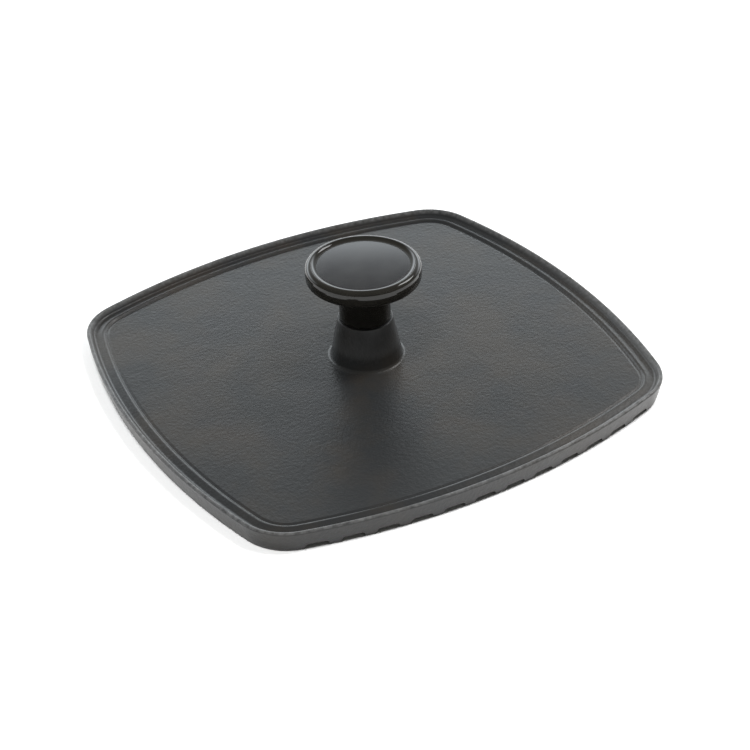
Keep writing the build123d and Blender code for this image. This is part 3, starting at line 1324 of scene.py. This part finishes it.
@dataclass
class Knob:
    """The mushroom knob: moulded body, disc in its top, threaded insert in its neck."""

    neck_radius: float = 11.4 * MM
    neck_end_round: float = 0.4 * MM
    head_depth: float = 8.1 * MM
    band_bulge: float = 0.7 * MM
    band_round: float = 11.5 * MM
    band_lower_round: float = 2.4 * MM
    band_upper_round: float = 2.1 * MM
    underside_rise: float = 0.8 * MM
    neck_cove: float = 5.5 * MM
    disc_ledge: float = 0.4 * MM
    disc_clearance: float = 0.05 * MM
    disc_crown: float = 0.6 * MM
    disc_edge_round: float = 0.2 * MM
    cove_width: float = 1.95 * MM
    cove_sag: float = 0.25 * MM
    lip_round: float = 0.18 * MM
    insert_radius: float = 5.0 * MM
    insert_bore: float = 3.0 * MM
    insert_recess: float = 0.4 * MM
    insert_chamfer: float = 0.4 * MM
    insert_step: float = 0.15 * MM
    knurl_starts: float = 24.0
    knurl_rise: float = 1.31 * MM
    knurl_depth: float = 0.22 * MM
    thread_pitch: float = 1.0 * MM
    thread_depth: float = 0.42 * MM
    thread_step: float = 0.1 * MM
    waist_depth: float = 0.8 * MM
    waist_length: float = 3.0 * MM
    tip_pocket: float = 2.0 * MM
    pocket_round: float = 0.08 * MM
    segments: int = 224

    def build(self, moulded: Finish, satin: Finish, brass: Finish) -> list[bpy.types.Object]:
        """Build the knob's three pieces.

        Args:
            moulded: Finish of the moulding.
            satin: Finish of the disc.
            brass: Finish of the insert.

        Returns:
            The pieces.
        """
        body = self._body()
        body.data.materials.append(moulded.build())
        seat(body, Body.KNOB, "knob_body")
        disc = self._disc()
        disc.data.materials.append(satin.build())
        seat(disc, Body.KNOB, "knob_disc")
        insert = self._insert(brass.build())
        seat(insert, Body.KNOB, "knob_insert")
        return [body, disc, insert]

    def _body(self) -> bpy.types.Object:
        """The moulding, turned with its pockets.

        Returns:
            The piece.
        """
        low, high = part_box("knob_body")
        base, top, head = low.z, high.z, high.x
        disc_low, disc_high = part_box("knob_disc")
        insert_low, insert_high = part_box("knob_insert")
        pocket = disc_high.x + self.disc_clearance
        ledge = pocket + self.disc_ledge
        lip = ledge + self.cove_width
        edge = disc_high.z - self.disc_crown
        under = top - self.head_depth
        band = head - self.band_bulge
        lean = math.atan2(self.band_bulge, self.head_depth / 2)
        swell = head + self.band_round * (1 / math.cos(lean) - 1)
        waist = self.insert_radius - self.waist_depth
        waist_low = (insert_low.z + insert_high.z - self.waist_length) / 2
        waist_high = waist_low + self.waist_length
        tip = insert_high.z + self.tip_pocket
        recess = self.insert_radius + self.insert_recess
        corners = (
            Corner(0, tip),
            Corner(waist, tip),
            Corner(waist, insert_high.z),
            Corner(self.insert_radius, insert_high.z),
            Corner(self.insert_radius, waist_high),
            Corner(waist, waist_high),
            Corner(waist, waist_low),
            Corner(self.insert_radius, waist_low),
            Corner(self.insert_radius, insert_low.z),
            Corner(recess, insert_low.z),
            Corner(recess, base),
            Corner(self.neck_radius, base, self.neck_end_round),
            Corner(self.neck_radius, under + self.underside_rise, self.neck_cove),
            Corner(band, under, self.band_lower_round),
            Corner(swell, top - self.head_depth / 2, self.band_round),
            Corner(band, top, self.band_upper_round),
            Corner(lip, top, self.lip_round),
            *bowed((lip, top), (ledge, edge), self.cove_sag),
            Corner(ledge, edge),
            Corner(pocket, edge, self.pocket_round),
            Corner(pocket, disc_low.z),
            Corner(0, disc_low.z),
        )
        points = Section(corners, arc_step=math.radians(5)).points()
        return turned("knob_moulding", points, self.segments)

    def _disc(self) -> bpy.types.Object:
        """The crowned disc.

        Returns:
            The piece.
        """
        low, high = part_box("knob_disc")
        edge = high.z - self.disc_crown
        crown = bowed((high.x, edge), (0, high.z), 0.0, 24)
        radius = high.x
        ball = (radius**2 + self.disc_crown**2) / (2 * self.disc_crown)
        arc = [Corner(c.reach, high.z - ball + math.sqrt(ball**2 - c.reach**2)) for c in crown]
        corners = (
            Corner(0, low.z),
            Corner(radius, low.z, self.disc_edge_round),
            Corner(radius, edge, self.disc_edge_round),
            *arc,
            Corner(0, high.z),
        )
        return turned("knob_cap_disc", Section(corners, hold=0.1 * MM).points(), 160)

    def _insert(self, material: bpy.types.Material) -> bpy.types.Object:
        """The brass insert, knurled outside and threaded inside.

        Args:
            material: Its finish.

        Returns:
            The piece.
        """
        low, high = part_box("knob_insert")
        waist = self.insert_radius - self.waist_depth
        middle = (low.z + high.z) / 2
        waist_low, waist_high = middle - self.waist_length / 2, middle + self.waist_length / 2
        chamfer = self.insert_chamfer
        step = self.insert_step
        outer = [(self.insert_radius - chamfer, low.z)]
        outer += wall_points(self.insert_radius, low.z + chamfer, waist_low, step)
        outer += wall_points(waist, waist_low, waist_high, 4 * step)
        outer += wall_points(self.insert_radius, waist_high, high.z - chamfer, step)
        outer += [(self.insert_radius - chamfer, high.z)]
        bore = wall_points(self.insert_bore, high.z - chamfer, low.z + chamfer, self.thread_step)
        flare = self.insert_bore + chamfer
        points = outer + [(flare, high.z)] + bore + [(flare, low.z)]
        insert = turned("knob_threaded_insert", points, 192, closed=True)
        knurl_tree().shape_piece(
            insert,
            material,
            Starts=self.knurl_starts,
            Rise=self.knurl_rise,
            Depth=self.knurl_depth,
            Least_Radius=self.insert_radius - 0.1 * MM,
            Low=low.z + 1.5 * chamfer,
            High=high.z - 1.5 * chamfer,
        )
        thread_tree().shape_piece(
            insert,
            material,
            Pitch=self.thread_pitch,
            Depth=self.thread_depth,
            Start=low.z + chamfer,
            End=high.z - chamfer,
            Lead=0.8 * self.thread_pitch,
            Least_Radius=self.insert_bore - 0.1 * MM,
            Greatest_Radius=self.insert_bore + 0.1 * MM,
            Width=0.55,
        )
        return insert


# ---- The screw and its washers -----------------------------------------------------


@dataclass
class Fixing:
    """The slotted pan-head screw with its flat washer and its spring washer."""

    thread_radius: float = 2.95 * MM
    pitch: float = 1.0 * MM
    thread_depth: float = 0.58 * MM
    head_height: float = 3.6 * MM
    head_round: float = 1.8 * MM
    slot_width: float = 1.6 * MM
    slot_depth: float = 1.6 * MM
    tip_chamfer: float = 0.7 * MM
    shank_fillet: float = 0.3 * MM
    slot_corner: float = 0.2 * MM
    split_width: float = 1.0 * MM
    split_lean: float = 25.0
    split_steps: int = 120

    def build(self, screw_finish: Finish, washer_finish: Finish) -> list[bpy.types.Object]:
        """Build the screw and the washers.

        Args:
            screw_finish: Finish of the screw.
            washer_finish: Finish of both washers.

        Returns:
            The pieces.
        """
        screw = self._screw(screw_finish.build())
        seat(screw, Body.SCREW, "fixing_screw")
        steel = washer_finish.build()
        flat = self._flat_washer()
        flat.data.materials.append(steel)
        seat(flat, Body.PRESS, "flat_washer")
        spring = self._spring_washer()
        spring.data.materials.append(steel)
        seat(spring, Body.PRESS, "lock_washer")
        return [screw, flat, spring]

    def _screw(self, material: bpy.types.Material) -> bpy.types.Object:
        """The screw, its slot cut and its thread rolled.

        Args:
            material: Its finish.

        Returns:
            The piece.
        """
        low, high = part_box("fixing_screw")
        seat_height = low.z + self.head_height
        head = Section(
            (
                Corner(0, low.z),
                Corner(high.x, low.z, self.head_round),
                Corner(high.x, seat_height, 0.15 * MM),
                Corner(self.thread_radius + self.shank_fillet, seat_height, 0.2 * MM),
                Corner(self.thread_radius, seat_height + self.shank_fillet),
            ),
        ).points()
        shank_low, shank_high = seat_height + self.shank_fillet + 0.1 * MM, high.z - self.tip_chamfer
        shank = wall_points(self.thread_radius, shank_low, shank_high, self.pitch / 10)
        tip = [(self.thread_radius - self.tip_chamfer, high.z), (0, high.z)]
        screw = turned("pan_head_screw", head + shank + tip, 64)
        guard = turned("slot_guard", [(0, 1), (0.1 * MM, 1), (0.1 * MM, 1.1), (0, 1.1)], 8)
        cut_row(screw, material, self._slot_tool(low.z, high.x), guard)
        thread_tree().shape_piece(
            screw,
            material,
            Pitch=self.pitch,
            Depth=self.thread_depth,
            Start=seat_height + 1.5 * self.pitch,
            End=high.z + 0.5 * self.pitch,
            Lead=1.0 * self.pitch,
            Least_Radius=self.thread_radius - self.tip_chamfer - 0.05 * MM,
            Greatest_Radius=self.thread_radius + 0.05 * MM,
            Width=0.92,
        )
        screw.data.set_sharp_from_angle(angle=math.radians(40))
        return screw

    def _slot_tool(self, head_face: float, head_radius: float) -> bpy.types.Object:
        """The bar that cuts the screwdriver slot, with rounded lower corners.

        Args:
            head_face: Height of the head's face.
            head_radius: Radius of the head.

        Returns:
            The tool.
        """
        section = Section(
            (
                Corner(-self.slot_width / 2, head_face - 1 * MM),
                Corner(self.slot_width / 2, head_face - 1 * MM),
                Corner(self.slot_width / 2, head_face + self.slot_depth, self.slot_corner),
                Corner(-self.slot_width / 2, head_face + self.slot_depth, self.slot_corner),
            ),
            closed=True,
            arc_step=math.radians(30),
            hold=Section.NO_HOLD,
        )
        reach = 2 * head_radius
        ends = [[(x, y, z) for y, z in section.points()] for x in (-reach, reach)]
        return solid_of_rows("slot_tool", ends)

    def _flat_washer(self) -> bpy.types.Object:
        """The stamped washer: rounded on the side that the punch met, crisp on the other.

        Returns:
            The piece.
        """
        low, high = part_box("flat_washer")
        bore = self._bore("flat_washer")
        corners = (
            Corner(bore, low.z, 0.25 * MM),
            Corner(high.x, low.z, 0.30 * MM),
            Corner(high.x, high.z, 0.08 * MM),
            Corner(bore, high.z, 0.08 * MM),
        )
        points = Section(corners, closed=True, hold=0.1 * MM).points()
        return turned("stamped_washer", points, 128, closed=True)

    def _spring_washer(self) -> bpy.types.Object:
        """The split washer, pressed flat, with the slanting ends of its split.

        Returns:
            The piece.
        """
        low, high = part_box("lock_washer")
        bore = self._bore("lock_washer")
        corners = (
            Corner(bore, low.z, 0.15 * MM),
            Corner(high.y, low.z, 0.25 * MM),
            Corner(high.y, high.z, 0.25 * MM),
            Corner(bore, high.z, 0.15 * MM),
        )
        points = Section(corners, closed=True, arc_step=math.radians(22), hold=0.1 * MM).points()
        middle = (low.z + high.z) / 2
        ring = (bore + high.y) / 2
        half_gap = self.split_width / 2 / ring
        lean = math.tan(math.radians(self.split_lean)) / ring
        rows = []
        for k in range(self.split_steps + 1):
            row = []
            for radius, height in points:
                start = half_gap - (height - middle) * lean
                end = math.tau - half_gap - (height - middle) * lean
                angle = start + (end - start) * (k / self.split_steps)
                row.append((radius * math.cos(angle), radius * math.sin(angle), height))
            rows.append(row)
        return solid_of_rows("spring_washer", rows)

    @staticmethod
    def _bore(node: str) -> float:
        """Radius of a washer's bore, read from its CAD node.

        Args:
            node: The washer's node.

        Returns:
            The radius.
        """
        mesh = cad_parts[node].data
        return min(math.hypot(v.co.x, v.co.y) for v in mesh.vertices)


# ---- The studio -------------------------------------------------------------------


@dataclass
class Studio:
    """White paper, soft light and the camera."""

    paper_size: float = 12.0
    azimuth: float = -29.33
    elevation: float = 34.80
    roll: float = -2.06
    distance: float = 728.1 * MM
    aim: Place = (-0.26 * MM, -7.38 * MM, 0.0)
    lens: float = 78.13
    sensor_width: float = 36.0
    view_range: tuple[float, float] = (0.01, 50.0)
    paper_gap: float = 0.05 * MM
    front_light: Colour = (0.15, 0.15, 0.14)
    softbox_size: float = 0.24
    left_power: float = 14.0
    right_power: float = 11.0
    window_size: float = 0.45
    window_power: float = 6.0

    def build(self, paper: Finish) -> None:
        """Lay the paper, hang the lights and place the camera.

        Args:
            paper: The paper's finish.
        """
        self._lay_paper(paper)
        self._sky()
        self._softboxes()
        self._camera()
        bpy.context.scene.view_settings.view_transform = "Standard"

    def _lay_paper(self, paper: Finish) -> None:
        """The floor, just under the rib crests.

        Args:
            paper: Its finish.
        """
        half = self.paper_size / 2
        form = bmesh.new()
        bmesh.ops.create_grid(form, x_segments=24, y_segments=24, size=half)
        bmesh.ops.translate(form, verts=form.verts, vec=(0, 0, CAD_BOX[0].z - self.paper_gap))
        floor = new_piece("studio_floor", form)
        floor.data.materials.append(paper.build())

    def _sky(self) -> None:
        """Light from all round: dim, with a bright band low behind the press."""
        world = bpy.data.worlds.new("studio_sky")
        bpy.context.scene.world = world
        world.use_nodes = True
        world.node_tree.nodes.clear()
        board = Board(world.node_tree)
        across, along, up = board.split(board.wire("ShaderNodeTexCoord", output="Generated"))
        behind = (across * 0.35 + along * 0.94).rise(3 / 11, 5 / 11)
        stops = [
            (0.00, (1.40, 1.45, 1.48)),
            (0.13, (1.40, 1.45, 1.48)),
            (0.24, (3.45, 3.70, 3.85)),
            (0.38, (3.45, 3.70, 3.85)),
            (0.49, (0.86, 0.92, 0.95)),
            (0.62, (0.35, 0.35, 0.34)),
            (0.80, (0.15, 0.15, 0.14)),
            (1.00, (0.14, 0.14, 0.13)),
        ]
        wall = board.wire("ShaderNodeValToRGB", {"stops": stops}, {0: up})
        colour = Finish.blend(board, behind, self.front_light, wall)
        glow = board.add("ShaderNodeBackground", inputs={"Color": colour, "Strength": 1.0})
        board.add("ShaderNodeOutputWorld", inputs={0: glow.outputs[0]})

    def _softboxes(self) -> None:
        """Two soft lamps that light the paper but are flagged off shiny parts, and a window."""
        for side, power in ((-1, self.left_power), (1, self.right_power)):
            lamp = self._lamp("paper_softbox", (side * 0.38, -0.30, 1.20), self.softbox_size, power)
            lamp.visible_glossy = False
        self._lamp("right_window", (0.85, 0.00, 0.95), self.window_size, self.window_power)

    @staticmethod
    def _lamp(name: str, place: Place, size: float, power: float) -> bpy.types.Object:
        """Hang one square lamp that faces the press.

        Args:
            name: The lamp's name.
            place: Where it hangs.
            size: Its side.
            power: Its power in watts.

        Returns:
            The lamp.
        """
        lamp = bpy.data.lights.new(name, "AREA")
        lamp.shape = "SQUARE"
        lamp.size = size
        lamp.energy = power
        stand = bpy.data.objects.new(name, lamp)
        stand.location = place
        stand.rotation_euler = Vector(place).to_track_quat("Z", "Y").to_euler()
        bpy.context.scene.collection.objects.link(stand)
        return stand

    def _camera(self) -> None:
        """Place the camera: round, up, and rolled a little."""
        a, e, r = (math.radians(v) for v in (self.azimuth, self.elevation, self.roll))
        back = Vector((math.sin(a) * math.cos(e), -math.cos(a) * math.cos(e), math.sin(e)))
        level = Vector((math.cos(a), math.sin(a), 0.0))
        rise = back.cross(level)
        right = level * math.cos(r) + rise * math.sin(r)
        up = rise * math.cos(r) - level * math.sin(r)
        turn = Matrix((right, up, back)).transposed().to_4x4()
        camera = bpy.data.cameras.new("camera")
        camera.sensor_width = self.sensor_width
        camera.lens = self.lens
        camera.clip_start, camera.clip_end = self.view_range
        stand = bpy.data.objects.new("camera", camera)
        stand.matrix_world = Matrix.Translation(Vector(self.aim) + back * self.distance) @ turn
        bpy.context.scene.collection.objects.link(stand)
        bpy.context.scene.camera = stand


def main() -> None:
    """Build the press and the studio, and report each piece."""
    logging.basicConfig(level=logging.INFO, format="%(message)s")
    Studio().build(StudioPaper())
    report(PressPlate().build(EnamelledIron()))
    brass = TurnedMetal("turned_brass", (0.62, 0.47, 0.20), (0.40, 0.29, 0.12))
    report(Knob().build(Phenolic(), SatinDisc(), brass))
    steel = TurnedMetal("turned_steel")
    report(Fixing().build(steel, TurnedMetal("stamped_steel", roughness=0.34)))


if __name__ == "__main__":
    main()
